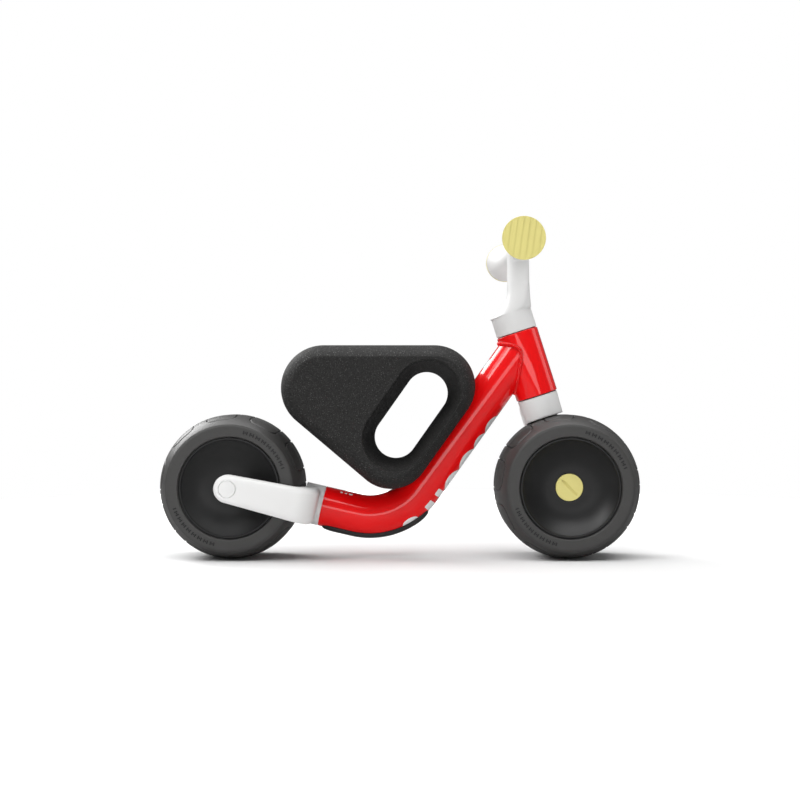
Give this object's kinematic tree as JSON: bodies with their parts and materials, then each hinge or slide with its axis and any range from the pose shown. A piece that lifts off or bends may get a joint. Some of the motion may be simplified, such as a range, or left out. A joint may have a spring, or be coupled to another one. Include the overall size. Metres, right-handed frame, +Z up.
{
  "type": "toddler balance bike",
  "caption": "Toddler balance bike with a bent red tube frame, one-piece foam seat with a carry slot, single-sided arms, wide tyres and a T handlebar.",
  "frame": {"origin": "on the floor, midway between the two axles and on the middle plane", "axes": "+X points forward along the bike, +Y to the rider's left, +Z up"},
  "size_m": [0.5332, 0.2599, 0.3661],
  "materials": {
    "frame_red": "gloss powder coat",
    "satin_white": "satin moulded",
    "trim_yellow": "satin moulded",
    "tyre_rubber": "matt foam rubber",
    "hub_black": "satin moulded",
    "seat_foam": "fine-celled foam with pale flecks",
    "pad_black": "matt",
    "bush_plastic": "matt",
    "bare_steel": "zinc plated"
  },
  "bodies": {
    "frame": {"head_tube": "frame_red", "lower_headset_bush": "bush_plastic", "main_tube": "frame_red", "rear_arm": "satin_white", "rear_arm_screw": "bare_steel", "rear_axle_bolt": "bare_steel", "rear_axle_nut": "bare_steel", "rear_axle_spacer": "bare_steel", "rear_nut_cover": "satin_white", "seat_bolts": "bare_steel", "seat_foam": "seat_foam", "seat_nuts": "bare_steel", "skid_pad": "pad_black", "steering_stop_pin": "bare_steel", "upper_headset_bush": "bush_plastic"},
    "steering": {"steerer_tube": "bare_steel", "front_arm": "satin_white", "front_arm_screw": "bare_steel", "handlebar_stem": "satin_white", "stem_screw": "bare_steel", "handlebar_core_left": "bare_steel", "handlebar_core_right": "bare_steel", "grip_left": "satin_white", "grip_right": "satin_white", "grip_cap_left": "trim_yellow", "grip_cap_right": "trim_yellow", "front_axle_bolt": "bare_steel", "front_axle_nut": "bare_steel", "front_axle_spacer": "bare_steel", "front_nut_cover": "satin_white"},
    "front_wheel": {"front_tyre": "tyre_rubber", "front_hub_arm_side": "hub_black", "front_hub_open_side": "hub_black", "front_bearing_arm_side": "bare_steel", "front_bearing_open_side": "bare_steel", "front_hub_cap": "trim_yellow"},
    "rear_wheel": {"rear_tyre": "tyre_rubber", "rear_hub_arm_side": "hub_black", "rear_hub_open_side": "hub_black", "rear_bearing_arm_side": "bare_steel", "rear_bearing_open_side": "bare_steel", "rear_hub_cap": "trim_yellow"}
  },
  "joints": [
    {"name": "steer", "type": "hinge", "parent": "frame", "child": "steering", "pos_m": [0.18665, 0, 0.08], "axis": [-0.304, 0, 0.9527], "range_deg": [-45, 45]},
    {"name": "front_wheel_spin", "type": "hinge", "parent": "steering", "child": "front_wheel", "pos_m": [0.18665, 0, 0.08], "axis": [0, 1, 0], "continuous": true},
    {"name": "rear_wheel_spin", "type": "hinge", "parent": "frame", "child": "rear_wheel", "pos_m": [-0.18665, 0, 0.08], "axis": [0, 1, 0], "continuous": true}
  ]
}
